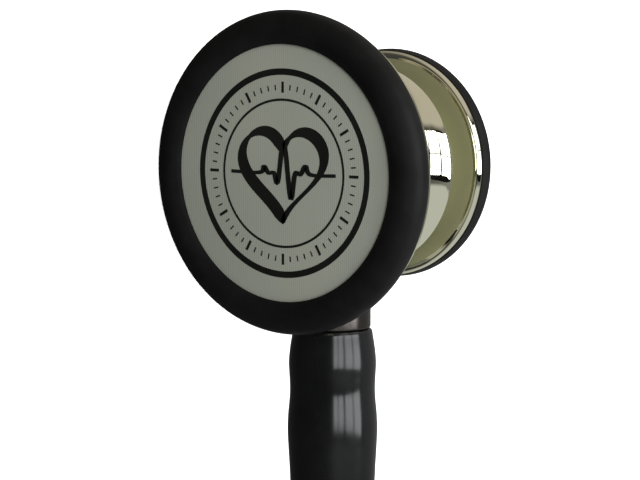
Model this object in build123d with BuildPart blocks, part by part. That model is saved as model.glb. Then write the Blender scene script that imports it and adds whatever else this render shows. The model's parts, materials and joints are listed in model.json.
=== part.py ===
from build123d import *
import math
import os

# Stethoscope with a two-sided chestpiece, laid out on a table. Millimetres, +Z up, the table at Z = 0.
# The chestpiece stands on its large rim with its axis along X. The stem and the hose leave it along -Y.
# The hose falls to the table, turns back in a wide bend, and the headset lies flat beside the chestpiece.
# The origin lies on the table, below the middle of everything but the hose.

# ---- where the chestpiece and the headset lie ----
CHEST_X, CHEST_Y = 95.8, 34.4       # the stem's axis, and the chestpiece's centre along Y
HEADSET_X, HEADSET_Y = -60.6, -104.6  # the headset's middle line, and the yoke's face that takes the hose

# ---- chestpiece: depths run from the large diaphragm's face to the back, radii from the disc axis ----
RIM_R = 23.75            # large rim, its widest radius
RIM_WIDEST = 0.95        # depth of the large rim's widest radius
RIM_LIP_R = 18.8         # edge of the lip in front of the large diaphragm
RIM_BACK = 3.7           # depth where the large rim ends on the metal cup
CUP_SEAT_R = 22.4        # the cup's wall inside the rim
CUP_EDGE_R = 22.75       # the bare metal edge behind the rim
STOP_DEPTH = 0.95        # the cup's front face, which stops the diaphragm
DIAPHRAGM_R, DIAPHRAGM_T = 19.05, 0.5
BEVEL = 0.15             # depth of the bevel round each diaphragm's face, so that the face clears the lip
RUNNING = 0.05           # radial clearance of every sliding or turning fit
BULGE_DEPTH, BULGE_CENTRE_R, BULGE_ARC = 11.0, 9.8, 6.0  # rounded outline round the stem's boss
BULGE_SWEEP = 60.0       # degrees of that arc, from its top towards the waist
WAIST = (17.05, 11.9)    # depth and radius of the waist behind the bulge
FLARE = ((18.22, 12.64), (19.05, 13.63), (20.21, 14.72), (20.85, 15.14), (21.4, 15.35))
SHOULDER_DEPTH = 21.75   # flat back of the flare
NECK_R = 12.2
FLANGE_DEPTH, FLANGE_R = 26.3, 16.2      # flat front face of the small cup
SMALL_EDGE_DEPTH, SMALL_EDGE_R = 26.9, 17.28
SMALL_RIM_R, SMALL_RIM_WIDEST = 17.64, 28.53
SMALL_RIM_BACK = 27.3
SMALL_SEAT_R = 16.9
SMALL_STOP_DEPTH = 29.0
SMALL_FACE_DEPTH = 29.9                  # outer face of the small diaphragm
SMALL_DIAPHRAGM_R = 14.2
SMALL_LIP_R = 13.95
BELL_R, BELL_BOTTOM = 9.2, 19.0          # deep bell behind the small diaphragm
PORT_REACH, PORT_R = 7.0, 1.3            # sound passage through the body

# ---- stem: reaches run from the disc axis towards the hose ----
STEM_DEPTH = 12.57       # depth of the stem's axis behind the large diaphragm's face
STEM_R, COLLAR_R, NIPPLE_R, LUMEN_R = 3.95, 5.77, 3.3, 1.5
STEM_START, COLLAR_START, COLLAR_END, NIPPLE_END = 3.0, 19.6, 23.9, 42.0
BARB_R = 3.6
BOSS_R, BOSS_END = 6.3, 19.3
STEM_HOLE_START = 2.6
CLIP_REACH, CLIP_T, CLIP_INNER_R, CLIP_OUTER_R = 9.6, 0.5, 3.2, 4.35
O_RING_REACH, O_RING_R, O_RING_WIRE = 15.8, 3.4, 0.55
BALL_REACH, BALL_R, BALL_CENTRE = 11.8, 0.9, 4.5
PLUG_R, PLUG_START, PLUG_END = 1.4, 7.2, 8.4
SPRING_COIL_R, SPRING_WIRE, SPRING_PITCH = 0.68, 0.14, 0.6
DOT_R, DOT_T, DOT_REACH = 0.9, 0.3, 21.8

# ---- moulded grip on the stem, and the hose ----
GRIP_START, GRIP_END = 24.0, 60.0
HOSE_R = 6.2
HOSE_LUMEN_R = 1.9
HOSE_ROUTE = (           # from the grip to the yoke, relative to the stem's axis above the chestpiece's centre
    (0.0, -60.0, 23.75),
    (0.0, -84.0, 23.75),
    (1.2, -125.0, 13.4),
    (0.5, -168.0, 6.2),
    (-20.6, -213.3, 6.2),
    (-75.0, -238.7, 6.2),
    (-131.4, -219.2, 6.2),
    (-156.4, -176.0, 6.4),
    (-156.4, -139.0, 6.4),
)
CORNER_SHARE = 0.45      # how much of the shorter run each bend may use

# ---- headset: u runs out from the middle line, v runs from the hose towards the ear tips ----
HEADSET_Z = 6.4
YOKE_R, YOKE_NECK_END, BRANCH_R = 6.4, 15.0, 6.15
PIVOT_U, PIVOT_V = 9.5, 28.0
KNUCKLE_R, KNUCKLE_TALL = 6.2, 12.0
KNUCKLE_GAP = 0.3
ARM_ANGLE = 21.0
SLEEVE_R, SLEEVE_MOUTH_R, SLEEVE_LENGTH = 6.0, 5.1, 66.0
EAR_TUBE_R, EAR_TUBE_BORE_R, EAR_TUBE_START = 3.15, 2.4, 44.0
EAR_TUBE_STRAIGHT = 96.0  # from the pivot to the first bend
EAR_TUBE_BENDS = ((51.0, 150.0), (47.5, 177.0), (34.0, 195.0), (20.0, 203.0))
LEAF_T, LEAF_TALL, LEAF_OFFSET, LEAF_REACH = 0.6, 5.0, 3.7, 26.0
LEAF_ROOT_V = 14.5
EARTIP_R, EARTIP_BORE_R = 6.4, 1.5
CORE_R, CORE_BACK, CORE_FRONT = 4.2, -7.5, 1.5

DISC = Plane(origin=(CHEST_X - STEM_DEPTH, CHEST_Y, RIM_R), x_dir=(1, 0, 0), z_dir=(0, -1, 0))
STEM = Plane(origin=(CHEST_X, CHEST_Y, RIM_R), x_dir=(0, -1, 0), z_dir=(-1, 0, 0))
DISC_AXIS = Axis(DISC.origin, DISC.x_dir)
STEM_AXIS = Axis(STEM.origin, STEM.x_dir)


def at_stem(reach, x=0.0, z=0.0):
    """A place beside the stem's axis, that far from the disc axis."""
    return (CHEST_X + x, CHEST_Y - reach, RIM_R + z)


def turned(plane, axis, points, mode=Mode.ADD):
    """A closed outline of straight lines, turned about the axis."""
    with BuildSketch(plane) as outline:
        with BuildLine():
            Polyline(*points, close=True)
        make_face()
    revolve(outline.sketch, axis=axis, mode=mode)


def ring_block(plane, axis, start, end, inner, outer, mode=Mode.ADD):
    """A plain ring or disc between two distances along the axis."""
    turned(plane, axis, [(start, inner), (end, inner), (end, outer), (start, outer)], mode)


def finish_piece(builder, name):
    builder.part.label = name
    export_step(builder.part, f"parts/{name}.step")


os.makedirs("parts", exist_ok=True)

# ================= chestpiece =================

# Turned metal body: large cup, bulge with a boss for the stem, flare, groove, and small cup.
with BuildPart() as chestpiece_body:
    with BuildSketch(DISC):
        with BuildLine():
            Polyline((4.6, 0), (4.6, 3), (1.7, 18), (STOP_DEPTH, 18.2), (STOP_DEPTH, CUP_SEAT_R),
                     (RIM_BACK, CUP_SEAT_R), (RIM_BACK, CUP_EDGE_R), (4.4, CUP_EDGE_R), (4.9, 22.3))
            bulge = CenterArc((BULGE_DEPTH, BULGE_CENTRE_R), BULGE_ARC, 90, -BULGE_SWEEP)
            ThreePointArc((4.9, 22.3), (6.68, 17.59), bulge @ 0)
            ThreePointArc(bulge @ 1, WAIST, FLARE[0])
            Spline(*FLARE, tangents=((0.6, 0.8), (0.97, 0.26)))
            Polyline(FLARE[-1], (SHOULDER_DEPTH, FLARE[-1][1] - 0.05), (SHOULDER_DEPTH, NECK_R),
                     (FLANGE_DEPTH, NECK_R), (FLANGE_DEPTH, FLANGE_R))
            ThreePointArc((FLANGE_DEPTH, FLANGE_R), (26.42, 16.85), (SMALL_EDGE_DEPTH, SMALL_EDGE_R))
            Polyline((SMALL_EDGE_DEPTH, SMALL_EDGE_R), (SMALL_RIM_BACK, SMALL_EDGE_R),
                     (SMALL_RIM_BACK, SMALL_SEAT_R), (SMALL_STOP_DEPTH, SMALL_SEAT_R),
                     (SMALL_STOP_DEPTH, 13.4), (28.3, 13.2))
            ThreePointArc((28.3, 13.2), (25.6, 10.2), (21.5, BELL_R))
            Polyline((21.5, BELL_R), (BELL_BOTTOM, BELL_R - 1), (BELL_BOTTOM, 0), (4.6, 0))
        make_face()
    revolve(axis=DISC_AXIS)
    ring_block(STEM, STEM_AXIS, PORT_REACH, BOSS_END, 0, BOSS_R)
    ring_block(STEM, STEM_AXIS, STEM_HOLE_START, BOSS_END + 1, 0, STEM_R + RUNNING, Mode.SUBTRACT)
    ring_block(STEM, STEM_AXIS, CLIP_REACH - RUNNING, CLIP_REACH + CLIP_T + RUNNING, 0,
               CLIP_OUTER_R + RUNNING, Mode.SUBTRACT)
    with Locations(Location(at_stem(PORT_REACH), (0, 90, 0))):
        Cylinder(PORT_R, 2 * STEM_DEPTH + 5, mode=Mode.SUBTRACT)
    with Locations(at_stem(BALL_REACH, z=-PLUG_START / 2)):
        Cylinder(BALL_R + RUNNING, PLUG_START, mode=Mode.SUBTRACT)
    with Locations(at_stem(BALL_REACH, z=-PLUG_START)):
        Cylinder(PLUG_R, 6, align=(Align.CENTER, Align.CENTER, Align.MAX), mode=Mode.SUBTRACT)
finish_piece(chestpiece_body, "chestpiece_body")

# Soft rim that snaps over the large cup and frames the diaphragm.
with BuildPart() as adult_rim:
    with BuildSketch(DISC):
        with BuildLine():
            Spline((-0.35, RIM_LIP_R), (-0.92, 20.4), (-0.5, 22.5), (RIM_WIDEST, RIM_R),
                   tangents=((-0.5, 1), (1, 0)))
            Spline((RIM_WIDEST, RIM_R), (2.7, 23.45), (RIM_BACK, 22.95), tangents=((1, 0), (1, -0.7)))
            Polyline((RIM_BACK, 22.95), (RIM_BACK, CUP_SEAT_R), (STOP_DEPTH, CUP_SEAT_R),
                     (STOP_DEPTH, DIAPHRAGM_R + RUNNING), (0, DIAPHRAGM_R + RUNNING),
                     (0, RIM_LIP_R), (-0.35, RIM_LIP_R))
        make_face()
    revolve(axis=DISC_AXIS)
finish_piece(adult_rim, "adult_rim")

with BuildPart() as adult_diaphragm:
    turned(DISC, DISC_AXIS, [(0, 0), (0, RIM_LIP_R - RUNNING), (BEVEL, DIAPHRAGM_R),
                             (DIAPHRAGM_T, DIAPHRAGM_R), (DIAPHRAGM_T, 0)])
finish_piece(adult_diaphragm, "adult_diaphragm")

# Soft rim and diaphragm of the small side, facing +X.
with BuildPart() as pediatric_rim:
    with BuildSketch(DISC):
        with BuildLine():
            Spline((SMALL_RIM_BACK, 17.4), (SMALL_RIM_WIDEST, SMALL_RIM_R), tangents=((1, 0.3), (1, 0)))
            Spline((SMALL_RIM_WIDEST, SMALL_RIM_R), (30.0, 16.9), (30.55, 15.4), (30.15, SMALL_LIP_R),
                   tangents=((1, 0), (-0.5, -1)))
            Polyline((30.15, SMALL_LIP_R), (SMALL_FACE_DEPTH, SMALL_LIP_R),
                     (SMALL_FACE_DEPTH, SMALL_DIAPHRAGM_R + RUNNING),
                     (SMALL_STOP_DEPTH, SMALL_DIAPHRAGM_R + RUNNING),
                     (SMALL_STOP_DEPTH, SMALL_SEAT_R), (SMALL_RIM_BACK, SMALL_SEAT_R),
                     (SMALL_RIM_BACK, 17.4))
        make_face()
    revolve(axis=DISC_AXIS)
finish_piece(pediatric_rim, "pediatric_rim")

with BuildPart() as pediatric_diaphragm:
    turned(DISC, DISC_AXIS, [
        (SMALL_FACE_DEPTH, 0), (SMALL_FACE_DEPTH, SMALL_LIP_R - RUNNING),
        (SMALL_FACE_DEPTH - BEVEL, SMALL_DIAPHRAGM_R), (SMALL_FACE_DEPTH - DIAPHRAGM_T, SMALL_DIAPHRAGM_R),
        (SMALL_FACE_DEPTH - DIAPHRAGM_T, 0)])
finish_piece(pediatric_diaphragm, "pediatric_diaphragm")

# Hollow stem: shaft in the body, collar, and a barbed nipple inside the grip.
with BuildPart() as stem:
    turned(STEM, STEM_AXIS, [
        (STEM_START, 0), (STEM_START, STEM_R), (COLLAR_START, STEM_R), (COLLAR_START, COLLAR_R - 0.4),
        (COLLAR_START + 0.4, COLLAR_R), (COLLAR_END, COLLAR_R), (COLLAR_END, NIPPLE_R),
        (37.0, NIPPLE_R), (37.0, BARB_R), (NIPPLE_END, NIPPLE_R - 0.5), (NIPPLE_END, 0)])
    ring_block(STEM, STEM_AXIS, PORT_REACH - PORT_R - 0.4, NIPPLE_END + 1, 0, LUMEN_R, Mode.SUBTRACT)
    ring_block(STEM, STEM_AXIS, CLIP_REACH - RUNNING, CLIP_REACH + CLIP_T + RUNNING, CLIP_INNER_R,
               STEM_R + 1, Mode.SUBTRACT)
    ring_block(STEM, STEM_AXIS, O_RING_REACH - 0.65, O_RING_REACH + 0.65, O_RING_R - O_RING_WIRE,
               STEM_R + 1, Mode.SUBTRACT)
    # The groove that the detent ball runs in, with a deeper dimple at each of the two positions.
    with BuildSketch(STEM):
        with Locations((BALL_REACH, BALL_CENTRE)):
            Circle(BALL_R + RUNNING)
    revolve(axis=STEM_AXIS, mode=Mode.SUBTRACT)
    with Locations(at_stem(BALL_REACH, z=BALL_CENTRE), at_stem(BALL_REACH, z=-BALL_CENTRE)):
        Sphere(BALL_R + 2 * RUNNING, mode=Mode.SUBTRACT)
    # The side port opens towards the small diaphragm.
    with Locations(Location(at_stem(PORT_REACH), (0, 90, 0))):
        Cylinder(PORT_R, STEM_R + 1, align=(Align.CENTER, Align.CENTER, Align.MIN), mode=Mode.SUBTRACT)
    with Locations(Location(at_stem(DOT_REACH, x=COLLAR_R - DOT_T), (0, 90, 0))):
        Cylinder(DOT_R, 1, align=(Align.CENTER, Align.CENTER, Align.MIN), mode=Mode.SUBTRACT)
finish_piece(stem, "stem")

# Coloured dot in the collar, on the side that the port opens to.
with BuildPart() as index_dot:
    with Locations(Location(at_stem(DOT_REACH, x=COLLAR_R - DOT_T), (0, 90, 0))):
        Cylinder(DOT_R, DOT_T - 0.08, align=(Align.CENTER, Align.CENTER, Align.MIN))
finish_piece(index_dot, "index_dot")

with BuildPart() as stem_o_ring:
    with BuildSketch(STEM):
        with Locations((O_RING_REACH, O_RING_R)):
            Circle(O_RING_WIRE)
    revolve(axis=STEM_AXIS)
finish_piece(stem_o_ring, "stem_o_ring")

# Split clip that keeps the stem in the body.
with BuildPart() as stem_clip:
    ring_block(STEM, STEM_AXIS, CLIP_REACH, CLIP_REACH + CLIP_T, CLIP_INNER_R, CLIP_OUTER_R)
    with Locations(at_stem(CLIP_REACH, x=-CLIP_OUTER_R)):
        Box(3, 3, 2.4, mode=Mode.SUBTRACT)
finish_piece(stem_clip, "stem_clip")

with BuildPart() as detent_ball:
    with Locations(at_stem(BALL_REACH, z=-BALL_CENTRE)):
        Sphere(BALL_R)
finish_piece(detent_ball, "detent_ball")

SPRING_START = BALL_CENTRE + BALL_R + SPRING_WIRE
SPRING_LENGTH = PLUG_START - SPRING_WIRE - SPRING_START
with BuildPart() as detent_spring:
    with BuildLine(Plane(origin=at_stem(BALL_REACH, z=-SPRING_START - SPRING_LENGTH))):
        coil = Helix(SPRING_PITCH, SPRING_LENGTH, SPRING_COIL_R)
    with BuildSketch(Plane(origin=coil @ 0, z_dir=coil % 0)):
        Circle(SPRING_WIRE)
    sweep(path=coil, is_frenet=True)
finish_piece(detent_spring, "detent_spring")

with BuildPart() as detent_plug:
    with Locations(at_stem(BALL_REACH, z=-PLUG_START)):
        Cylinder(PLUG_R, PLUG_END - PLUG_START, align=(Align.CENTER, Align.CENTER, Align.MAX))
    with Locations(at_stem(BALL_REACH, z=-PLUG_END)):
        Box(2 * PLUG_R, 0.4, 1.2, mode=Mode.SUBTRACT)
finish_piece(detent_plug, "detent_plug")

# ================= grip and hose =================

# Moulded end of the hose with two swells, pushed over the nipple.
with BuildPart() as tube_grip:
    with BuildSketch(STEM):
        with BuildLine():
            Line((GRIP_START, NIPPLE_R), (GRIP_START, 5.5))
            ThreePointArc((GRIP_START, 5.5), (24.2, 5.85), (24.7, 6.05))
            Spline((24.7, 6.05), (29.3, 6.59), (33.2, 6.43), (39.5, 6.79), (46.5, 6.46),
                   (GRIP_END, HOSE_R))
            Polyline((GRIP_END, HOSE_R), (GRIP_END, HOSE_LUMEN_R), (NIPPLE_END, HOSE_LUMEN_R),
                     (NIPPLE_END, NIPPLE_R), (GRIP_START, NIPPLE_R))
        make_face()
    revolve(axis=STEM_AXIS)
finish_piece(tube_grip, "tube_grip")

route = [Vector(CHEST_X + x, CHEST_Y + y, z) for x, y, z in HOSE_ROUTE]
runs = [after - before for before, after in zip(route, route[1:])]
radii = []
for before, after in zip(runs, runs[1:]):
    half_turn = math.radians(before.get_angle(after)) / 2
    radii.append(CORNER_SHARE * min(before.length, after.length) / math.tan(half_turn))
print("hose bend radii:", [round(radius, 1) for radius in radii])
with BuildPart() as tubing:
    with BuildLine():
        hose_path = FilletPolyline(*route, radius=radii)
    with BuildSketch(Plane(origin=hose_path @ 0, z_dir=hose_path % 0)):
        Circle(HOSE_R)
    sweep()
print("hose length", round(hose_path.length, 1), "volume / (section x length)",
      round(tubing.part.volume / (math.pi * HOSE_R ** 2 * hose_path.length), 4))
finish_piece(tubing, "tubing")

# ================= headset =================


def flat(u, v, z=HEADSET_Z):
    """A place on the headset."""
    return (HEADSET_X + u, HEADSET_Y + v, z)


def arm_plane(side, reach=0.0):
    """Looks along an arm from its pivot: local x runs out along the arm, local y is up."""
    across, along = side * math.sin(math.radians(ARM_ANGLE)), math.cos(math.radians(ARM_ANGLE))
    origin = flat(side * PIVOT_U + reach * across, PIVOT_V + reach * along)
    return Plane(origin=origin, x_dir=(across, along, 0), z_dir=(along, -across, 0))


def arm_axis(side):
    return Axis(arm_plane(side).origin, arm_plane(side).x_dir)


def rod(start, end, radius, mode=Mode.ADD):
    """A round bar between two places."""
    way = Vector(*end) - Vector(*start)
    with BuildSketch(Plane(origin=start, z_dir=way)) as section:
        Circle(radius)
    extrude(section.sketch, amount=way.length, mode=mode)


def leaf_outline(thickness, reach=LEAF_REACH):
    """Plan of the leaf spring: a V with a round root, lying on the inner side of both arms."""
    right = arm_plane(1)
    out, inward = right.x_dir, Vector(-right.z_dir.X, -right.z_dir.Y, 0)
    tip = right.origin + out * reach + inward * LEAF_OFFSET
    bend = right.origin - out * 4 + inward * LEAF_OFFSET
    left_tip = (2 * HEADSET_X - tip.X, tip.Y)
    left_bend = (2 * HEADSET_X - bend.X, bend.Y)
    root = flat(0, LEAF_ROOT_V)
    with BuildLine():
        leaf_line = FilletPolyline(left_tip, left_bend, root[:2], (bend.X, bend.Y), (tip.X, tip.Y),
                                   radius=(12, 2.2, 12))
    trace(leaf_line, line_width=thickness)


# Moulded fork: the hose enters it, and an arm leaves from each of its two knuckles.
with BuildPart() as yoke:
    rod(flat(0, 0), flat(0, YOKE_NECK_END), YOKE_R)
    for side in (-1, 1):
        rod(flat(0, 8), flat(side * (PIVOT_U - 0.9), PIVOT_V - 1.9), BRANCH_R)
        with Locations(flat(side * PIVOT_U, PIVOT_V)):
            Cylinder(KNUCKLE_R, KNUCKLE_TALL)
    with BuildSketch(Plane.XY.offset(HEADSET_Z - 4.5)):
        with BuildLine():
            Polyline(flat(-PIVOT_U, PIVOT_V)[:2], flat(-4, 10)[:2], flat(4, 10)[:2],
                     flat(PIVOT_U, PIVOT_V)[:2], close=True)
        make_face()
    extrude(amount=9)
    for side in (-1, 1):
        rod(flat(side * 2.2, -2), flat(side * (PIVOT_U + 1.9), PIVOT_V + 7), HOSE_LUMEN_R, Mode.SUBTRACT)
    with BuildSketch(Plane.XY.offset(HEADSET_Z - LEAF_TALL / 2)):
        leaf_outline(LEAF_T)
    extrude(amount=LEAF_TALL, mode=Mode.SUBTRACT)
finish_piece(yoke, "yoke")

with BuildPart() as leaf_spring:
    with BuildSketch(Plane.XY.offset(HEADSET_Z - LEAF_TALL / 2)):
        leaf_outline(LEAF_T)
    extrude(amount=LEAF_TALL)
finish_piece(leaf_spring, "leaf_spring")

for side, side_name in ((-1, "left"), (1, "right")):
    plane, axis = arm_plane(side), arm_axis(side)

    # Moulded arm: carries the ear tube, and hollow for the sound and for the end of the leaf spring.
    with BuildPart() as arm_sleeve:
        turned(plane, axis, [(0, 0), (0, SLEEVE_R), (SLEEVE_LENGTH - 1, SLEEVE_MOUTH_R),
                             (SLEEVE_LENGTH, SLEEVE_MOUTH_R - 0.8), (SLEEVE_LENGTH, 0)])
        with Locations(flat(side * PIVOT_U, PIVOT_V)):
            Cylinder(KNUCKLE_R + KNUCKLE_GAP, 4 * KNUCKLE_R, mode=Mode.SUBTRACT)
        ring_block(plane, axis, 0, SLEEVE_LENGTH + 1, 0, HOSE_LUMEN_R, Mode.SUBTRACT)
        ring_block(plane, axis, EAR_TUBE_START, SLEEVE_LENGTH + 1, 0, EAR_TUBE_R, Mode.SUBTRACT)
        with BuildSketch(Plane.XY.offset(HEADSET_Z - LEAF_TALL / 2 - 0.2)):
            leaf_outline(LEAF_T + 0.5, LEAF_REACH + 0.5)
        extrude(amount=LEAF_TALL + 0.4, mode=Mode.SUBTRACT)
    finish_piece(arm_sleeve, f"{side_name}_arm_sleeve")

    # Bent metal tube from inside the arm to the ear tip.
    bends = [arm_plane(side, EAR_TUBE_START).origin, arm_plane(side, EAR_TUBE_STRAIGHT).origin]
    bends += [Vector(*flat(side * u, v)) for u, v in EAR_TUBE_BENDS]
    legs = [after - before for before, after in zip(bends, bends[1:])]
    bend_radii = [CORNER_SHARE * min(a.length, b.length) / math.tan(math.radians(a.get_angle(b)) / 2)
                  for a, b in zip(legs, legs[1:])]
    with BuildPart() as ear_tube:
        with BuildLine():
            tube_path = FilletPolyline(*bends, radius=bend_radii)
        with BuildSketch(Plane(origin=tube_path @ 0, z_dir=tube_path % 0)):
            Circle(EAR_TUBE_R)
            Circle(EAR_TUBE_BORE_R, mode=Mode.SUBTRACT)
        sweep()
    finish_piece(ear_tube, f"{side_name}_ear_tube")

    # The ear tip's own axis: local x runs out of the tube's end, local y is up.
    out = legs[-1].normalized()
    tip_plane = Plane(origin=bends[-1], x_dir=out, z_dir=(out.Y, -out.X, 0))
    tip_axis = Axis(tip_plane.origin, tip_plane.x_dir)
    with BuildPart() as eartip_core:
        turned(tip_plane, tip_axis, [
            (CORE_BACK, EAR_TUBE_R), (CORE_BACK, CORE_R), (CORE_FRONT, CORE_R),
            (CORE_FRONT, EARTIP_BORE_R), (0, EARTIP_BORE_R), (0, EAR_TUBE_R)])
    finish_piece(eartip_core, f"{side_name}_eartip_core")

    # Soft mushroom-shaped ear tip over the core.
    with BuildPart() as eartip:
        with BuildSketch(tip_plane):
            with BuildLine():
                Line((-5.2, CORE_R), (-5.2, 5.0))
                Spline((-5.2, 5.0), (-1.5, EARTIP_R), tangents=((0.4, 1), (1, 0)))
                Spline((-1.5, EARTIP_R), (3.4, 5.4), (6.4, 3.3), (7.4, EARTIP_BORE_R),
                       tangents=((1, 0), (0.1, -1)))
                Polyline((7.4, EARTIP_BORE_R), (CORE_FRONT, EARTIP_BORE_R), (CORE_FRONT, CORE_R),
                         (-5.2, CORE_R))
            make_face()
        revolve(axis=tip_axis)
    finish_piece(eartip, f"{side_name}_eartip")
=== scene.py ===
import json
import math

import bpy
import bmesh
import numpy as np
from mathutils import Matrix, Vector


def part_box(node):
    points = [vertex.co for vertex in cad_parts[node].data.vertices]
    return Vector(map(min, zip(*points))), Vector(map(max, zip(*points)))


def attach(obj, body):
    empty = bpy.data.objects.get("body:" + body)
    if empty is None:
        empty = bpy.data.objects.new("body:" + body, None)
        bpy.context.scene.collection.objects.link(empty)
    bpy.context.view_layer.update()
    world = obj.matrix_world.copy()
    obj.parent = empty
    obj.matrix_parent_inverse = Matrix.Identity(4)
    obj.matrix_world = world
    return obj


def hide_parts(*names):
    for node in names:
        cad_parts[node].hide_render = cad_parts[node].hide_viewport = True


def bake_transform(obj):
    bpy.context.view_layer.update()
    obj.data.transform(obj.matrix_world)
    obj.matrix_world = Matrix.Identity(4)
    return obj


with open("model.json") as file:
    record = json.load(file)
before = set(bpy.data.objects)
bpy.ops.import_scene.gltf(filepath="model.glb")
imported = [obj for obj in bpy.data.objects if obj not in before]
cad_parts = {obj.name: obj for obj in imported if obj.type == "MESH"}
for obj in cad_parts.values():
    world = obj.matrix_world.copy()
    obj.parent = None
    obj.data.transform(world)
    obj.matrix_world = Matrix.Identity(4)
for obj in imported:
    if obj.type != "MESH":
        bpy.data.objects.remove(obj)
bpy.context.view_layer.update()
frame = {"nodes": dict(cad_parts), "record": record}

MM = 0.001
X, Y, Z = Vector((1, 0, 0)), Vector((0, 1, 0)), Vector((0, 0, 1))

# ---------------------------------------------------------------- places read from the frame
face_low, face_high = (Vector(corner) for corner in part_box("adult_diaphragm"))
RIM_CENTRE = Vector((face_low.x, (face_low.y + face_high.y) / 2, (face_low.z + face_high.z) / 2))
JOINTS = {joint["name"]: joint for joint in frame["record"]["behaviour"]["joints"]}
STEM_CENTRE = Vector(JOINTS["head_turn"]["pos_m"])
PIVOTS = {side: Vector(JOINTS[f"{side}_arm_spread"]["pos_m"]) for side in ("left", "right")}
HEADSET_CENTRE_X = (PIVOTS["left"].x + PIVOTS["right"].x) / 2


# ---------------------------------------------------------------- mesh helpers
WELD = 0.001 * MM               # points closer than this become one
SLIGHT_TURN = math.radians(20)  # corners that turn less than this aren't rounded
CORNER_SHARE = 0.45             # the most of a straight stretch that one rounded corner takes up
ON_AXIS = 1e-6                  # a smaller radius than this is a point on the axis


def shown(name, mesh, material, sharp=32):
    """A smooth-shaded object of a mesh, with edges sharper than the angle kept crisp."""
    mesh.polygons.foreach_set("use_smooth", [True] * len(mesh.polygons))
    mesh.set_sharp_from_angle(angle=math.radians(sharp))
    mesh.materials.append(material)
    piece = bpy.data.objects.new(name, mesh)
    bpy.context.scene.collection.objects.link(piece)
    return piece


def new_piece(name, verts, faces, material, sharp=32):
    """An object of verts and faces, with all its faces looking outwards."""
    mesh = bpy.data.meshes.new(name)
    mesh.from_pydata([tuple(v) for v in verts], [], faces)
    bm = bmesh.new()
    bm.from_mesh(mesh)
    bmesh.ops.recalc_face_normals(bm, faces=bm.faces)
    bm.to_mesh(mesh)
    bm.free()
    return shown(name, mesh, material, sharp)


def arc(centre, radius, start, end, steps):
    """Points on an arc, angles in degrees."""
    return [(centre[0] + radius * math.cos(a), centre[1] + radius * math.sin(a))
            for a in map(math.radians, np.linspace(start, end, steps))]


def through(points, steps):
    """A smooth line through points (Catmull-Rom)."""
    p = [np.array(q, float) for q in points]
    p = [2 * p[0] - p[1]] + p + [2 * p[-1] - p[-2]]
    line = []
    for a, b, c, d in zip(p, p[1:], p[2:], p[3:]):
        for t in np.linspace(0, 1, steps, endpoint=False):
            line.append(tuple(0.5 * (2 * b + (c - a) * t + (2 * a - 5 * b + 4 * c - d) * t ** 2
                                     + (3 * b - a - 3 * c + d) * t ** 3)))
    line.append(tuple(p[-2]))
    return line


def corner_bend(start, corner, end, steps):
    """Points on a curve from start to end that leaves and arrives along the corner's two sides."""
    return [tuple((1 - t) ** 2 * start + 2 * t * (1 - t) * corner + t ** 2 * end)
            for t in np.linspace(0, 1, steps)]


def eased(outline, radius, steps=5, closed=False):
    """The outline with its corners rounded to a small radius, apart from slight ones."""
    points = [np.array(p, float) for p in outline]
    count, line = len(points), []
    for i, corner in enumerate(points):
        if not closed and i in (0, count - 1):
            line.append(tuple(corner))
            continue
        before, after = points[i - 1] - corner, points[(i + 1) % count] - corner
        near, far = np.linalg.norm(before), np.linalg.norm(after)
        turn = math.pi - math.acos(np.clip(before @ after / (near * far), -1, 1))
        if turn < SLIGHT_TURN:
            line.append(tuple(corner))
            continue
        cut = min(radius * math.tan(turn / 2), CORNER_SHARE * near, CORNER_SHARE * far)
        line += corner_bend(corner + before / near * cut, corner, corner + after / far * cut, steps)
    return line


def lathe(name, outline, centre, axis, up, material, steps, closed=True):
    """An outline of (distance along the axis, radius) in mm, turned about the axis."""
    side = axis.cross(up)
    verts, rings, faces = [], [], []
    for along, radius in outline:
        middle = centre + axis * along * MM
        if radius < ON_AXIS:
            verts.append(middle)
            rings.append([len(verts) - 1] * steps)
            continue
        first = len(verts)
        for k in range(steps):
            a = 2 * math.pi * k / steps
            verts.append(middle + (up * math.cos(a) + side * math.sin(a)) * radius * MM)
        rings.append(list(range(first, first + steps)))
    pairs = list(zip(rings, rings[1:])) + ([(rings[-1], rings[0])] if closed else [])
    for a, b in pairs:
        for k in range(steps):
            quad = [a[k], a[(k + 1) % steps], b[(k + 1) % steps], b[k]]
            corners = list(dict.fromkeys(quad))
            if len(corners) > 2:
                faces.append(corners)
    return new_piece(name, verts, faces, material)


def disc_piece(name, outline, material, steps=256, closed=True):
    """Turned about the disc axis: depth behind the large diaphragm's face, radius."""
    return lathe(name, outline, RIM_CENTRE, X, Z, material, steps, closed)


def stem_piece(name, outline, material, steps=128, closed=True):
    """Turned about the stem's axis: distance from the disc axis towards the hose, radius."""
    return lathe(name, outline, STEM_CENTRE, -Y, Z, material, steps, closed)


def join(first, *others):
    """The pieces as one object, under the first one's name."""
    bpy.ops.object.select_all(action="DESELECT")
    for piece in (first, *others):
        piece.select_set(True)
    bpy.context.view_layer.objects.active = first
    bpy.ops.object.join()
    return first


def weld(piece):
    """Meeting edges of joined pieces become one, and the skin's faces all look outwards."""
    bm = bmesh.new()
    bm.from_mesh(piece.data)
    bmesh.ops.remove_doubles(bm, verts=bm.verts, dist=WELD)
    bmesh.ops.recalc_face_normals(bm, faces=bm.faces)
    bm.to_mesh(piece.data)
    bm.free()
    return piece


def own(piece, body, slot, *nodes):
    """The piece rides on a body, and the CAD nodes that it stands for are hidden. The slot is not used."""
    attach(piece, body)
    if nodes:
        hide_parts(*nodes)


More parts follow.
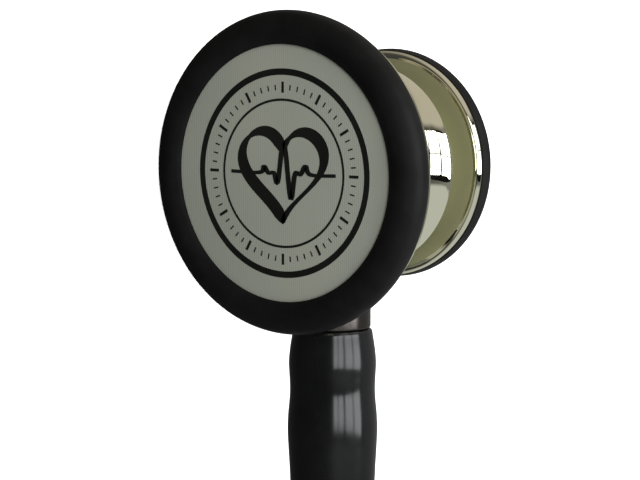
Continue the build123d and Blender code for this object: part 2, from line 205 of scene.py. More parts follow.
# ---------------------------------------------------------------- materials
def material(name, colour, roughness, metallic=0.0, **sockets):
    """A plain finish. Further sockets are named with _ for each space."""
    m = bpy.data.materials.new(name)
    m.use_nodes = True
    shader = m.node_tree.nodes["Principled BSDF"]
    shader.inputs["Base Color"].default_value = (*colour, 1)
    shader.inputs["Roughness"].default_value = roughness
    shader.inputs["Metallic"].default_value = metallic
    for socket, value in sockets.items():
        shader.inputs[socket.replace("_", " ")].default_value = value
    return m


class Graph:
    """Short names for building the nodes of a material or of the world."""

    def __init__(self, owner, shader="Principled BSDF", place="Object"):
        self.tree = owner.node_tree
        self.shader = self.tree.nodes[shader]
        self.place = self.add("ShaderNodeTexCoord").outputs[place]

    def add(self, kind, **settings):
        """A node, with its input sockets and its own settings given by name."""
        node = self.tree.nodes.new(kind)
        for key, value in settings.items():
            if key in node.inputs:
                node.inputs[key].default_value = value
            else:
                setattr(node, key, value)
        return node

    def link(self, out, into):
        self.tree.links.new(out, into)

    def noise(self, scale, detail, stretch=(1, 1, 1), rough=0.5):
        mapping = self.add("ShaderNodeMapping", Scale=stretch)
        self.link(self.place, mapping.inputs["Vector"])
        node = self.add("ShaderNodeTexNoise", Scale=scale, Detail=detail, Roughness=rough)
        self.link(mapping.outputs["Vector"], node.inputs["Vector"])
        return node.outputs["Fac"]

    def bands(self, direction, **settings):
        node = self.add("ShaderNodeTexWave", wave_type="BANDS", bands_direction=direction, **settings)
        self.link(self.place, node.inputs["Vector"])
        return node.outputs["Fac"]

    def span(self, value, low, high, to_low=0, to_high=1, curve="LINEAR"):
        """The value moved from one range to another."""
        ends = {"From Min": low, "From Max": high, "To Min": to_low, "To Max": to_high}
        node = self.add("ShaderNodeMapRange", interpolation_type=curve, **ends)
        self.link(value, node.inputs["Value"])
        return node.outputs["Result"]

    def math(self, kind, a, b):
        node = self.add("ShaderNodeMath", operation=kind)
        for socket, value in zip(node.inputs, (a, b)):
            if isinstance(value, (int, float)):
                socket.default_value = value
            else:
                self.link(value, socket)
        return node.outputs["Value"]

    def blend(self, factor, first, second):
        """A colour between two, by the factor."""
        node = self.add("ShaderNodeMix", data_type="RGBA")
        self.link(factor, node.inputs["Factor"])
        for socket, colour in ((node.inputs["A"], first), (node.inputs["B"], second)):
            if isinstance(colour, tuple):
                socket.default_value = (*colour, 1)
            else:
                self.link(colour, socket)
        return node.outputs["Result"]

    def bump(self, height, strength, distance):
        """Fine relief, with its distance in metres."""
        node = self.add("ShaderNodeBump", Strength=strength, Distance=distance)
        self.link(height, node.inputs["Height"])
        self.link(node.outputs["Normal"], self.shader.inputs["Normal"])

    def colour(self, out):
        self.link(out, self.shader.inputs["Base Color"])

    def roughness(self, out):
        self.link(out, self.shader.inputs["Roughness"])


def polished_metal():
    """Nearly a mirror, with faint smudges and turning marks round the disc axis."""
    m = material("polished_champagne_metal", (0.74, 0.725, 0.60), 0.05, 1.0)
    g = Graph(m)
    tint = g.span(g.noise(60, 4), 0.35, 0.65)
    g.colour(g.blend(tint, (0.76, 0.745, 0.62), (0.72, 0.705, 0.58)))
    g.roughness(g.span(g.noise(220, 5, rough=0.7), 0.3, 0.75, 0.015, 0.045))
    g.bump(g.noise(1800, 3, stretch=(1, 0.02, 0.02)), 0.012, 0.00001)
    return m


def painted_reflection_groove_metal():
    """A stand-in for the photograph's even olive band: its olive colour is painted reflection, probably of
    the groove's walls reflecting each other.
    """
    m = material("groove_metal_painted_olive_reflection", (0.37, 0.365, 0.22), 0.30, 0.35)
    g = Graph(m)
    tint = g.span(g.noise(50, 4), 0.35, 0.65)
    # The two olive shades are painted reflection, drifting at random between each other.
    g.colour(g.blend(tint, (0.385, 0.375, 0.225), (0.35, 0.345, 0.20)))
    g.roughness(g.span(g.noise(260, 4), 0.3, 0.7, 0.28, 0.4))
    g.bump(g.noise(2600, 2, stretch=(1, 0.06, 0.06)), 0.04, 0.00002)
    return m


def soft_black(name, colour, roughness, grain=1400, depth=0.25, shine=0.5):
    """A moulded finish with lighter dusty patches and a fine grain."""
    m = material(name, colour, roughness, Specular_IOR_Level=shine)
    g = Graph(m)
    dusty = tuple(c * 1.7 + 0.002 for c in colour)
    g.colour(g.blend(g.span(g.noise(90, 5, rough=0.65), 0.4, 0.7), colour, dusty))
    g.roughness(g.span(g.noise(160, 4), 0.3, 0.7, roughness - 0.02, roughness + 0.05))
    g.bump(g.noise(grain, 3), depth, 0.00003)
    return m


def smoke_metal(name, colour, roughness):
    """Satin metal with uneven sheen and fine marks that run along Y."""
    m = material(name, colour, roughness, 1.0)
    g = Graph(m)
    darker = tuple(c * 0.8 for c in colour)
    g.roughness(g.span(g.noise(420, 4), 0.3, 0.7, roughness - 0.05, roughness + 0.07))
    g.colour(g.blend(g.span(g.noise(70, 3), 0.35, 0.65), colour, darker))
    g.bump(g.noise(3000, 2, stretch=(1, 0.08, 1)), 0.012, 0.00001)
    return m


def diaphragm_sheet():
    """A grey-green sheet with a fine weave and cloudy patches."""
    m = material("woven_diaphragm_sheet", (0.49, 0.51, 0.44), 0.36, Anisotropic=0.6)
    g = Graph(m)
    threads = g.bands("Z", Scale=900, Distortion=0.6, Detail=2)
    cross_threads = g.bands("Y", Scale=900)
    cloud = g.span(g.noise(45, 3), 0.35, 0.65)
    base = g.blend(cloud, (0.47, 0.495, 0.42), (0.54, 0.545, 0.465))
    g.colour(g.blend(g.span(threads, 0, 1, 0, 0.35), base, (0.32, 0.34, 0.29)))
    g.bump(g.math("ADD", threads, g.math("MULTIPLY", cross_threads, 0.35)), 0.2, 0.00005)
    return m


METAL = polished_metal()
GROOVE_METAL = painted_reflection_groove_metal()
RIM_BLACK = soft_black("moulded_rim_rubber", (0.007, 0.007, 0.007), 0.55, shine=0.12)
HOSE_BLACK = soft_black("moulded_hose_rubber", (0.005, 0.005, 0.0055), 0.15, grain=900, depth=0.04,
                        shine=0.43)
TIP_BLACK = soft_black("eartip_silicone", (0.022, 0.022, 0.024), 0.5, grain=1100, depth=0.3)
CORE_BLACK = soft_black("core_plastic", (0.03, 0.03, 0.032), 0.35)
SEAL_BLACK = soft_black("seal_rubber", (0.02, 0.02, 0.02), 0.55)
INK = soft_black("printed_ink", (0.006, 0.006, 0.005), 0.38)
SMOKE = smoke_metal("smoke_coated_metal", (0.10, 0.09, 0.085), 0.24)
EAR_METAL = smoke_metal("smoke_anodised_tube", (0.13, 0.12, 0.115), 0.3)
STEEL = smoke_metal("spring_steel", (0.55, 0.55, 0.56), 0.3)
DOT = soft_black("dot_enamel", (0.55, 0.04, 0.03), 0.25)
SHEET = diaphragm_sheet()


# ---------------------------------------------------------------- camera, fitted to the photograph
LENS_MM, SENSOR_MM = 140.6, 36.0
EYE_FROM_DISC = Vector((-293.0, 26.3, 214.5)) * MM
EYE_RIGHT = Vector((0.5786, -0.0005, 0.8156))
EYE_UP = Vector((0.0808, 0.9951, -0.0568))


def make_camera():
    """Sets the camera, and gives the directions of its right, its up and its back."""
    data = bpy.data.cameras.new("camera")
    data.lens, data.sensor_width = LENS_MM, SENSOR_MM
    data.clip_start, data.clip_end = 0.01, 20
    camera = bpy.data.objects.new("camera", data)
    right = EYE_RIGHT.normalized()
    up = (EYE_UP - right * EYE_UP.dot(right)).normalized()
    turn = Matrix((right, up, right.cross(up))).transposed()
    camera.matrix_world = Matrix.Translation(RIM_CENTRE + EYE_FROM_DISC) @ turn.to_4x4()
    bpy.context.scene.collection.objects.link(camera)
    bpy.context.scene.camera = camera
    return right, up, right.cross(up)


SEEN_RIGHT, SEEN_UP, TO_EYE = make_camera()

# ---------------------------------------------------------------- hose
HOSE_MM = 12.4
# x and y from the stem's centre and the height above the table, in mm, as in the part's source
HOSE_ROUTE = (
    (0.0, -60.0, 23.75),
    (0.0, -84.0, 23.75),
    (1.2, -125.0, 13.4),
    (0.5, -168.0, 6.2),
    (-20.6, -213.3, 6.2),
    (-75.0, -238.7, 6.2),
    (-131.4, -219.2, 6.2),
    (-156.4, -176.0, 6.4),
    (-156.4, -139.0, 6.4),
)


def make_hose():
    data = bpy.data.curves.new("hose", "CURVE")
    data.dimensions = "3D"
    spline = data.splines.new("NURBS")
    spline.points.add(len(HOSE_ROUTE) - 1)
    for point, (x, y, z) in zip(spline.points, HOSE_ROUTE):
        point.co = (STEM_CENTRE.x + x * MM, STEM_CENTRE.y + y * MM, z * MM, 1)
    spline.order_u = 3
    spline.use_endpoint_u = True
    spline.resolution_u = 24
    data.bevel_depth = HOSE_MM / 2 * MM
    data.bevel_resolution = 14
    data.use_fill_caps = True
    data.materials.append(HOSE_BLACK)
    hose = bpy.data.objects.new("hose", data)
    bpy.context.scene.collection.objects.link(hose)
    own(hose, "hose_side", "hose_rubber", "tubing")
    start = STEM_CENTRE + Vector(HOSE_ROUTE[0]) * MM
    start.z = HOSE_ROUTE[0][2] * MM


make_hose()

# ---------------------------------------------------------------- chestpiece
# Depths are behind the large diaphragm's face and radii from the disc axis, both in mm.
TURNED_STEPS = 360
RIM_SEAT, RIM_BACK, LIP_RADIUS = 0.95, 3.7, 22.4          # where the large rim grips the body's lip
BULGE_CENTRE, BULGE_RADIUS = (11.0, 9.8), 6.0             # the barrel behind the large cup
FLARE = ((18.22, 12.64), (18.6, 13.12), (19.05, 13.63), (19.6, 14.18), (20.21, 14.72),
         (20.85, 15.14), (21.4, 15.35))
GROOVE_FRONT, GROOVE_BACK, GROOVE_NECK = 21.75, 26.3, 12.2
SMALL_SEAT, SMALL_BACK, SMALL_LIP_RADIUS = 29.0, 27.3, 16.9  # where the small rim grips its cup's lip
SMALL_FACE = 29.9
SHEET_THICK, LARGE_SHEET_RADIUS, SMALL_SHEET_RADIUS = 0.5, 19.05, 14.2
# The socket for the stem: distances from the disc axis, radii from the stem's axis.
SOCKET_START, SOCKET_BORE, SOCKET_FOOT, SOCKET_RADIUS = 8.0, 4.0, 8.5, 6.3
FILLET_START, FILLET_END, FILLET_GROWTH, FILLET_FADE = 14.2, 18.2, 2.2, 0.75


def make_socket():
    """The socket that the stem goes into, widening where it meets the body."""
    fillet = [(t, SOCKET_RADIUS + FILLET_GROWTH * math.exp(-(t - FILLET_START) / FILLET_FADE))
              for t in np.linspace(FILLET_START, FILLET_END, 20)]
    mouth = eased([(18.3, SOCKET_RADIUS), (19.3, SOCKET_RADIUS), (19.3, SOCKET_BORE)], 0.3)[1:]
    foot = [(SOCKET_START, SOCKET_BORE), (SOCKET_START, SOCKET_FOOT)]
    return stem_piece("stem_boss", foot + fillet + mouth, METAL)


def make_body():
    """The turned metal: large cup, barrel and flare, then the groove, then the small cup."""
    outline = eased([(4.6, 0), (4.6, 3), (1.7, 18), (RIM_SEAT, 18.2), (RIM_SEAT, LIP_RADIUS),
                     (RIM_BACK, LIP_RADIUS), (RIM_BACK, 22.75), (4.4, 22.75), (4.9, 22.3)], 0.18)
    outline += through([(4.9, 22.3), (5.5, 19.9), (6.68, 17.59), (8.6, 16.15), (11.0, 15.8)], 8)[1:]
    outline += arc(BULGE_CENTRE, BULGE_RADIUS, 90, 30, 24)[1:]
    outline += through([(16.2, 12.8), (16.55, 12.25), (17.1, 11.95), (17.65, 12.12), FLARE[0]], 6)[1:]
    outline += through(FLARE, 10)[1:]
    outline += eased([FLARE[-1], (21.78, 15.42), (GROOVE_FRONT, 15.0)], 0.3)[1:]
    groove = eased([(GROOVE_FRONT, 15.0), (GROOVE_FRONT, GROOVE_NECK), (GROOVE_BACK, GROOVE_NECK),
                    (GROOVE_BACK, 16.2)], 0.5)
    cup = through([(GROOVE_BACK, 16.2), (26.42, 16.85), (26.9, 17.28)], 8)
    cup += eased([(26.9, 17.28), (SMALL_BACK, 17.28), (SMALL_BACK, SMALL_LIP_RADIUS),
                  (SMALL_SEAT, SMALL_LIP_RADIUS), (SMALL_SEAT, 13.4), (28.3, 13.2)], 0.1)[1:]
    cup += through([(28.3, 13.2), (25.6, 10.2), (21.5, 9.2)], 8)[1:]
    cup += [(19.0, 8.2), (19.0, 0)]
    body = disc_piece("chestpiece_metal", outline, METAL, TURNED_STEPS, closed=False)
    groove = disc_piece("chestpiece_groove", groove, GROOVE_METAL, TURNED_STEPS, closed=False)
    cup = disc_piece("small_cup", cup, METAL, TURNED_STEPS, closed=False)
    weld(join(body, groove, cup))
    join(body, make_socket())
    own(body, "head", "polished_metal", "chestpiece_body")


def make_rims():
    large = eased([(RIM_BACK, LIP_RADIUS), (RIM_SEAT, LIP_RADIUS), (RIM_SEAT, 19.1), (0, 19.1),
                   (0, 18.8), (-0.35, 18.8)], 0.12)
    large += through([(-0.35, 18.8), (-0.66, 19.4), (-0.92, 20.4), (-0.86, 21.5), (-0.5, 22.5),
                      (0.1, 23.35), (0.95, 23.75), (1.9, 23.7), (2.8, 23.42), (RIM_BACK, 22.95)], 8)[1:]
    own(disc_piece("large_soft_rim", large, RIM_BLACK, 320), "head", "soft_rim", "adult_rim")
    small = eased([(30.15, 13.95), (SMALL_FACE, 13.95), (SMALL_FACE, 14.25), (SMALL_SEAT, 14.25),
                   (SMALL_SEAT, SMALL_LIP_RADIUS), (SMALL_BACK, SMALL_LIP_RADIUS), (SMALL_BACK, 17.4)], 0.1)
    small += through([(SMALL_BACK, 17.4), (28.53, 17.64), (29.4, 17.42), (30.0, 16.9), (30.45, 16.2),
                      (30.55, 15.4), (30.45, 14.6), (30.15, 13.95)], 8)[1:-1]
    own(disc_piece("small_soft_rim", small, RIM_BLACK), "head", "soft_rim", "pediatric_rim")


def sheet_outline(face, back, radius):
    return eased([(face, 0), (face, radius), (back, radius), (back, 0)], 0.08)


def make_diaphragms():
    large = sheet_outline(0, SHEET_THICK, LARGE_SHEET_RADIUS)
    own(disc_piece("large_diaphragm_sheet", large, SHEET, closed=False), "large_diaphragm",
        "diaphragm_sheet", "adult_diaphragm")
    small = sheet_outline(SMALL_FACE, SMALL_FACE - SHEET_THICK, SMALL_SHEET_RADIUS)
    own(disc_piece("small_diaphragm_sheet", small, SHEET, closed=False), "small_diaphragm",
        "diaphragm_sheet", "pediatric_diaphragm")


# ---------------------------------------------------------------- print on the large diaphragm
INK_MM = 0.03
TICKS = 60
LONG_TICK, SHORT_TICK = (11.75, 13.35, 0.42), (12.15, 12.95, 0.2)  # radii of both ends, and width
HEART_SCALE, HEART_LIFT = 0.46, 0.6
PULSE = ((-9.4, 0), (-4.2, 0), (-3.4, 0.9), (-2.6, 0), (-1.6, 0), (-0.9, -1.3), (0.2, 4.6),
         (1.4, -3.6), (2.2, 0), (3.2, 0), (4.1, 1.2), (5.0, 0), (9.4, 0))


def printed_ring(name, inner, outer):
    ring = [(-INK_MM, inner), (-INK_MM, outer), (0.0, outer), (0.0, inner)]
    own(disc_piece(name, ring, INK), "large_diaphragm", "diaphragm_sheet")


def on_face(across, up, height=0.0):
    """A place on the large diaphragm: across and up as it is looked at, and height above the sheet."""
    return RIM_CENTRE + (Z * across + Y * up - X * height) * MM


def printed_ribbon(name, line, widths, closed=False, thick=INK_MM):
    """A flat printed stroke that follows a line, with its own width at every point."""
    points = [np.array(p, float) for p in line]
    count, edges = len(points), []
    for i, p in enumerate(points):
        if closed:
            along = points[(i + 1) % count] - points[i - 1]
        else:
            along = points[min(i + 1, count - 1)] - points[max(i - 1, 0)]
        along /= max(np.linalg.norm(along), 1e-9)
        normal = np.array((-along[1], along[0])) * widths[i] / 2
        edges.append((p + normal, p - normal))
    verts, faces = [], []
    for a, b in edges:
        verts += [on_face(*a, thick), on_face(*b, thick), on_face(*b), on_face(*a)]
    for i in range(count if closed else count - 1):
        a, b = 4 * i, 4 * ((i + 1) % count)
        faces += [[a + k, a + (k + 1) % 4, b + (k + 1) % 4, b + k] for k in range(4)]
    if not closed:
        faces += [[0, 1, 2, 3], [4 * count - 4 + k for k in range(4)]]
    return new_piece(name, verts, faces, INK)


def pen_widths(line, thin, thick, slant):
    """Widths of a line drawn with a broad pen that is held at a slant, in degrees."""
    widths = []
    for i in range(len(line)):
        a, b = line[max(i - 1, 0)], line[min(i + 1, len(line) - 1)]
        way = math.atan2(b[1] - a[1], b[0] - a[0])
        widths.append(thin + (thick - thin) * abs(math.sin(way - math.radians(slant))))
    return widths


def make_ticks():
    """A ring of ticks, with every fifth one longer and wider."""
    ticks = []
    for k in range(TICKS):
        start, end, width = LONG_TICK if k % 5 == 0 else SHORT_TICK
        way = math.radians(360 / TICKS * k)
        tick = [(r * math.sin(way), r * math.cos(way)) for r in (start, end)]
        ticks.append(printed_ribbon(f"tick_{k}", tick, [width, width]))
    ring = join(*ticks)
    ring.name = "printed_ticks"
    own(ring, "large_diaphragm", "diaphragm_sheet")


def make_heart():
    """A heart in a broad pen's stroke, which thins towards the heart's dip and tip."""
    turns = np.linspace(0, 2 * math.pi, 121)[:-1]
    heart = []
    for t in turns:
        across = 16 * math.sin(t) ** 3
        up = 13 * math.cos(t) - 5 * math.cos(2 * t) - 2 * math.cos(3 * t) - math.cos(4 * t)
        heart.append((HEART_SCALE * across, HEART_SCALE * up + HEART_LIFT))
    taper = [0.28 + 0.72 * min(1.0, 2.2 * abs(math.sin(t))) for t in turns]
    widths = [w * k for w, k in zip(pen_widths(heart, 0.6, 2.0, 40), taper)]
    own(printed_ribbon("printed_heart", heart, widths, closed=True), "large_diaphragm", "diaphragm_sheet")


def make_pulse():
    """A pulse line across the heart, in ink a little thicker than the heart's."""
    pulse = through(PULSE, 6)
    own(printed_ribbon("printed_pulse", pulse, pen_widths(pulse, 0.5, 0.85, 0), thick=1.6 * INK_MM),
        "large_diaphragm", "diaphragm_sheet")


make_body()
make_rims()
make_diaphragms()
printed_ring("printed_outer_ring", 14.34, 15.28)
printed_ring("printed_inner_ring", 10.56, 10.91)
make_ticks()
make_heart()
make_pulse()


# ---------------------------------------------------------------- stem and grip
STEM_START, STEM_RADIUS, COLLAR_RADIUS, NIPPLE_RADIUS = 3.0, 3.95, 5.77, 3.3
GRIP_START, GRIP_END = 24.0, 60.0


def make_stem():
    """The spindle in the body, the collar that shows, and the nipple inside the grip."""
    outline = eased([(STEM_START, 0.0), (STEM_START, STEM_RADIUS), (19.6, STEM_RADIUS), (19.6, COLLAR_RADIUS),
                     (23.9, COLLAR_RADIUS), (23.9, NIPPLE_RADIUS), (40.0, NIPPLE_RADIUS), (42.0, 2.8),
                     (42.0, 0.0)], 0.35, steps=6)
    own(stem_piece("stem_metal", outline, SMOKE, closed=False), "hose_side", "smoke_metal", "stem")


def make_grip():
    """The moulded end of the hose, with two slight swells behind the collar."""
    swells = [(24.7, 6.05), (26.2, 6.29), (27.6, 6.48), (29.3, 6.6), (31.2, 6.51), (33.2, 6.43),
              (35.0, 6.52), (37.2, 6.72), (39.5, 6.79), (42.0, 6.69), (46.5, 6.45), (53.0, 6.28),
              (GRIP_END, HOSE_MM / 2)]
    outline = [(GRIP_START, NIPPLE_RADIUS), (GRIP_START, 5.45)] + arc((24.65, 5.4), 0.65, 175, 95, 8)
    outline += through(swells, 8) + [(GRIP_END, NIPPLE_RADIUS)]
    own(stem_piece("moulded_grip", outline, HOSE_BLACK, 192), "hose_side", "hose_rubber", "tube_grip")


make_stem()
make_grip()

# ---------------------------------------------------------------- headset
ARM_ANGLE = math.radians(21)
PIVOT_OUT, PIVOT_ALONG = 9.5, 28  # from the headset's middle line, and from the hose's end, in mm
HEADSET = Vector((HEADSET_CENTRE_X, PIVOTS["left"].y - PIVOT_ALONG * MM, PIVOTS["left"].z))
SIDES = {"left": -1, "right": 1}
FORK_NECK, ARM_REACH = 13.5, 66             # the fork's straight start, and its arms past the pivots
ARM_START, ARM_ROUND_OFF = 34, 93.6         # ways along the fork's line where its radius changes
BEND_CUTS = range(1, 56)                    # one per millimetre, on both sides of the pivots
EAR_TUBE_START, EAR_TUBE_STRAIGHT = 44, 96  # reaches from the pivot
EAR_TUBE_CORNERS = ((51.0, 150.0), (47.5, 177.0), (34.0, 195.0), (20.0, 203.0))
EAR_TUBE_RADIUS, CORE_RADIUS, TIP_BORE = 3.15, 4.2, 1.5


def flat(side, u, v, up=0.0):
    """A place on the headset: out from its middle line, along it from the hose, and above its middle."""
    return HEADSET + Vector((side * u, v, up)) * MM


def arm_point(reach):
    """Out and along from the headset's middle, at a reach from the pivot along an arm."""
    return PIVOT_OUT + reach * math.sin(ARM_ANGLE), PIVOT_ALONG + reach * math.cos(ARM_ANGLE)


def rounded(points, share=CORNER_SHARE):
    """A line with each of its corners turned into a bend."""
    points = [np.array(p, float) for p in points]
    line = [tuple(points[0])]
    for before, corner, after in zip(points, points[1:], points[2:]):
        near, far = np.linalg.norm(before - corner), np.linalg.norm(after - corner)
        cut = share * min(near, far)
        start, end = corner + (before - corner) / near * cut, corner + (after - corner) / far * cut
        line += corner_bend(start, corner, end, 12)
    return line + [tuple(points[-1])]


def evenly(line, gap):
    """The line's points again at even gaps, and how far along the line each of them is."""
    line = np.array(line)
    gone = np.concatenate([[0], np.cumsum(np.linalg.norm(np.diff(line, axis=0), axis=1))])
    marks = np.linspace(0, gone[-1], max(2, int(gone[-1] / gap)))
    return [tuple(float(np.interp(m, gone, line[:, k])) for k in (0, 1)) for m in marks], marks


def headset_tube(name, side, line, radius, finish, steps=48):
    """A round tube along a line on the headset, with its radius given by the way along it."""
    points, marks = evenly(line, gap=1.0)
    verts, faces = [], []
    for i, (u, v) in enumerate(points):
        a, b = np.array(points[max(i - 1, 0)]), np.array(points[min(i + 1, len(points) - 1)])
        along = (b - a) / np.linalg.norm(b - a)
        size = radius(marks[i])
        for k in range(steps):
            turn = 2 * math.pi * k / steps
            out, up = size * math.cos(turn), size * math.sin(turn)
            verts.append(flat(side, u + along[1] * out, v - along[0] * out, up))
    for i in range(len(points) - 1):
        for k in range(steps):
            n = (k + 1) % steps
            faces.append([i * steps + k, i * steps + n, (i + 1) * steps + n, (i + 1) * steps + k])
    faces += [list(range(steps)), list(range((len(points) - 1) * steps, len(points) * steps))]
    return new_piece(name, verts, faces, finish, sharp=40)


def cut_across(bm, place, normal, drop=False):
    """New edges where a plane cuts the mesh. What lies on the normal's side can be dropped."""
    bmesh.ops.bisect_plane(bm, geom=bm.verts[:] + bm.edges[:] + bm.faces[:], plane_co=place,
                           plane_no=normal, clear_outer=drop)


def kept_side(piece, side, name, finish):
    """The part of a mesh on one side of the headset's middle plane, closed and cut finely to bend."""
    bm = bmesh.new()
    bm.from_mesh(piece.evaluated_get(bpy.context.evaluated_depsgraph_get()).data)
    bmesh.ops.remove_doubles(bm, verts=bm.verts, dist=WELD)
    cut_across(bm, HEADSET, X * -side, drop=True)
    for v in BEND_CUTS:
        cut_across(bm, flat(1, 0, v), Y)
    bmesh.ops.holes_fill(bm, edges=[edge for edge in bm.edges if edge.is_boundary], sides=0)
    bmesh.ops.recalc_face_normals(bm, faces=bm.faces)
    mesh = bpy.data.meshes.new(name)
    bm.to_mesh(mesh)
    bm.free()
    return shown(name, mesh, finish, sharp=40)


def bend_with_arm(piece):
    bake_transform(piece)


def fork_radius(gone):
    """Narrows slightly up to the arms, more along them, and most at their ends."""
    if gone < ARM_START:
        return 6.35 - 0.35 * gone / ARM_START
    if gone < ARM_ROUND_OFF:
        return 6.0 - 0.9 * (gone - ARM_START) / 61
    return 5.1 - 0.45 * (gone - ARM_ROUND_OFF)


def make_fork():
    """The moulded fork: one soft skin, cut along the middle into a half for each side."""
    line = rounded([(0, 0), (0, FORK_NECK), arm_point(0), arm_point(ARM_REACH)], share=0.42)
    whole = join(*[headset_tube(f"fork_{side}", side, line, fork_radius, HOSE_BLACK) for side in (-1, 1)])
    grow = whole.modifiers.new("one_skin", "REMESH")
    grow.mode, grow.voxel_size, grow.use_smooth_shade = "VOXEL", 0.55 * MM, True
    soften = whole.modifiers.new("soften", "SMOOTH")
    soften.factor, soften.iterations = 0.5, 14
    for side_name, side in SIDES.items():
        half = kept_side(whole, side, f"{side_name}_fork_half", HOSE_BLACK)
        nodes = (f"{side_name}_arm_sleeve", "yoke") if side > 0 else (f"{side_name}_arm_sleeve",)
        bend_with_arm(half)
        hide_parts(*nodes)
    bpy.data.objects.remove(whole)


def make_leaf():
    """The CAD leaf spring, cut along the middle like the fork around it."""
    leaf = frame["nodes"]["leaf_spring"]
    for side_name, side in SIDES.items():
        half = kept_side(leaf, side, f"{side_name}_leaf_half", STEEL)
        bend_with_arm(half)
        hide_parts("leaf_spring")


def make_ear_tube(side_name, side):
    line = rounded([arm_point(EAR_TUBE_START), arm_point(EAR_TUBE_STRAIGHT), *EAR_TUBE_CORNERS])
    tube = headset_tube(f"{side_name}_bent_tube", side, line, lambda gone: EAR_TUBE_RADIUS, EAR_METAL, 40)
    own(tube, f"{side_name}_arm", "ear_tube_metal", f"{side_name}_ear_tube")


def make_ear_tip(side_name, side):
    """The hard core on the tube's end and the soft tip over it, along the tube's last stretch."""
    last, end = EAR_TUBE_CORNERS[-2:]
    way = Vector((side * (end[0] - last[0]), end[1] - last[1], 0)).normalized()
    core = eased([(-7.5, EAR_TUBE_RADIUS), (-7.5, CORE_RADIUS), (1.5, CORE_RADIUS), (1.5, TIP_BORE),
                  (0.0, TIP_BORE), (0.0, EAR_TUBE_RADIUS)], 0.25, closed=True)
    own(lathe(f"{side_name}_tip_core", core, flat(side, *end), way, Z, CORE_BLACK, 96),
        f"{side_name}_arm", "core_plastic", f"{side_name}_eartip_core")
    tip = [(-5.2, CORE_RADIUS)]
    tip += through([(-5.2, 5.0), (-4.4, 5.85), (-3.1, 6.3), (-1.5, 6.4), (0.3, 6.32), (2.0, 5.98),
                    (3.4, 5.4), (5.0, 4.45), (6.4, 3.3), (7.1, 2.4), (7.4, TIP_BORE)], 6)
    tip += [(1.5, TIP_BORE), (1.5, CORE_RADIUS)]
    own(lathe(f"{side_name}_soft_tip", tip, flat(side, *end), way, Z, TIP_BLACK, 128),
        f"{side_name}_arm", "eartip_silicone", f"{side_name}_eartip")


make_fork()
make_leaf()
for side_name, side in SIDES.items():
    make_ear_tube(side_name, side)
    make_ear_tip(side_name, side)

# ---------------------------------------------------------------- CAD nodes that keep their shape
KEPT = {"index_dot": DOT, "stem_o_ring": SEAL_BLACK, "stem_clip": STEEL, "detent_ball": STEEL,
        "detent_spring": STEEL, "detent_plug": STEEL}
for node, finish in KEPT.items():
    for slot in frame["nodes"][node].material_slots:
        slot.material = finish


# ---------------------------------------------------------------- floor and light
FLOOR_REACH = 3.0
# The window's panes fill these stretches of azimuth and elevation, in degrees as the object sees them.
PANES_ACROSS = ((3.0, 13.6), (16.0, 29.0), (34.0, 55.0), (58.0, 79.0))
PANES_UP = ((-13.7, 4.3), (5.3, 25.0))
PANE_FAR, PANE_RADIANCE, PANE_COLOUR = 1.4, 5.4, (0.97, 0.99, 1.0)
FLOOR_LIGHT_STRENGTH, FLOOR_LIGHT_ANGLE = 3.2, math.radians(20)


def uneven_paint(name, colour, roughness, first, second):
    """A plain paint that drifts between two shades."""
    paint = material(name, colour, roughness)
    g = Graph(paint)
    g.colour(g.blend(g.span(g.noise(3, 3), 0.3, 0.7), first, second))
    return paint


def toward(azimuth, elevation):
    """A direction from the object. Azimuth turns from the camera towards the picture's right."""
    a, e = math.radians(azimuth), math.radians(elevation)
    return (SEEN_RIGHT * math.sin(a) + TO_EYE * math.cos(a)) * math.cos(e) + SEEN_UP * math.sin(e)


def square_on(way):
    """The sideways and upward directions of a flat thing that faces the object from a way."""
    across = SEEN_UP.cross(way).normalized()
    return across, way.cross(across)


def make_floor():
    """A white floor that only the camera sees: it shows in no reflection and lights nothing."""
    corners = [(x * FLOOR_REACH, y * FLOOR_REACH, 0) for x, y in ((-1, -1), (1, -1), (1, 1), (-1, 1))]
    pale = uneven_paint("pale_floor", (0.86, 0.86, 0.86), 0.8, (0.87, 0.87, 0.87), (0.84, 0.84, 0.84))
    floor = new_piece("floor", corners, [[0, 1, 2, 3]], pale)
    floor.visible_glossy = False
    floor.visible_diffuse = False
    return floor


def make_pane(name, left, right, bottom, top):
    """One pane of the window, as a light that the camera doesn't see."""
    data = bpy.data.lights.new(name, "AREA")
    data.shape = "RECTANGLE"
    data.size = 2 * PANE_FAR * math.tan(math.radians(right - left) / 2)
    data.size_y = 2 * PANE_FAR * math.tan(math.radians(top - bottom) / 2)
    data.energy, data.color = PANE_RADIANCE * math.pi * data.size * data.size_y, PANE_COLOUR
    light = bpy.data.objects.new(name, data)
    way = toward((left + right) / 2, (bottom + top) / 2)
    turn = Matrix((*square_on(way), way)).transposed()
    light.matrix_world = Matrix.Translation(STEM_CENTRE + way * PANE_FAR) @ turn.to_4x4()
    light.visible_camera = False
    bpy.context.scene.collection.objects.link(light)


def make_dark_card(name, azimuth, elevation, width, height, far):
    """A dark card that only reflections see. Width, height and distance in metres."""
    way = toward(azimuth, elevation)
    across, tall = square_on(way)
    middle = STEM_CENTRE + way * far
    corners = [middle + across * width * x / 2 + tall * height * y / 2
               for x, y in ((-1, -1), (1, -1), (1, 1), (-1, 1))]
    paint = uneven_paint("dark_surround", (0.01, 0.01, 0.01), 0.9, (0.010, 0.010, 0.010),
                         (0.016, 0.015, 0.014))
    card = new_piece(name, corners, [[0, 1, 2, 3]], paint)
    card.visible_camera = card.visible_shadow = card.visible_diffuse = False


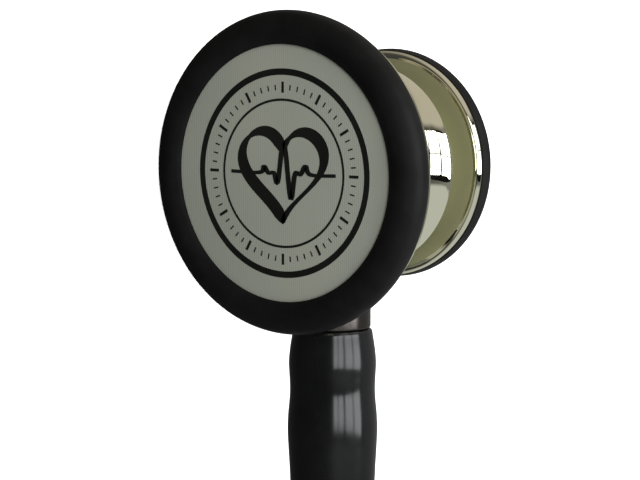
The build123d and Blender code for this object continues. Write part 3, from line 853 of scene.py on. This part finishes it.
def make_window():
    for column, (left, right) in enumerate(PANES_ACROSS):
        for row, (bottom, top) in enumerate(PANES_UP):
            make_pane(f"window_{column}_{row}", left, right, bottom, top)
    make_dark_card("window_surround", azimuth=42, elevation=4, width=2.8, height=1.3, far=1.5)


def make_floor_light(floor):
    """A sun that lights the floor and nothing else, so that the background stays white."""
    above = bpy.data.lights.new("floor_light", "SUN")
    above.energy, above.angle = FLOOR_LIGHT_STRENGTH, FLOOR_LIGHT_ANGLE
    lamp = bpy.data.objects.new("floor_light", above)
    bpy.context.scene.collection.objects.link(lamp)
    lit = bpy.data.collections.new("lit_by_floor_light")
    lit.objects.link(floor)
    lamp.light_linking.receiver_collection = lit
    lamp.light_linking.blocker_collection = lit


def make_surroundings():
    """The room that the metal reflects: bright on the window's side, with a ceiling and a ground."""
    world = bpy.data.worlds.new("studio")
    bpy.context.scene.world = world
    world.use_nodes = True
    g = Graph(world, "Background", "Generated")

    def facing(way, low, high, to_low=0.0, to_high=1.0):
        """A soft step in how far a direction turns towards the given one."""
        dot = g.add("ShaderNodeVectorMath", operation="DOT_PRODUCT")
        dot.inputs[1].default_value = way
        g.link(g.place, dot.inputs[0])
        return g.span(dot.outputs["Value"], low, high, to_low, to_high, "SMOOTHSTEP")

    side = facing(toward(105, 0), -0.35, 0.75, 0.06, 0.26)
    lit_half = facing(toward(100, 0), -0.55, 0.1, 0.15)
    ceiling = g.math("MULTIPLY", facing(SEEN_UP, 0.42, 0.56, 0.0, 0.60), lit_half)
    ground = g.math("MULTIPLY", facing(-SEEN_UP, 0.33, 0.42, 0.0, 0.62), lit_half)
    g.link(g.math("MAXIMUM", side, g.math("MAXIMUM", ceiling, ground)), g.shader.inputs["Strength"])
    warmth = g.blend(facing(SEEN_UP, 0.1, 0.6), (0.97, 1.0, 0.95), (1.0, 0.93, 0.80))
    g.link(warmth, g.shader.inputs["Color"])


floor = make_floor()
make_window()
make_floor_light(floor)
make_surroundings()
bpy.context.scene.view_settings.view_transform = "Standard"
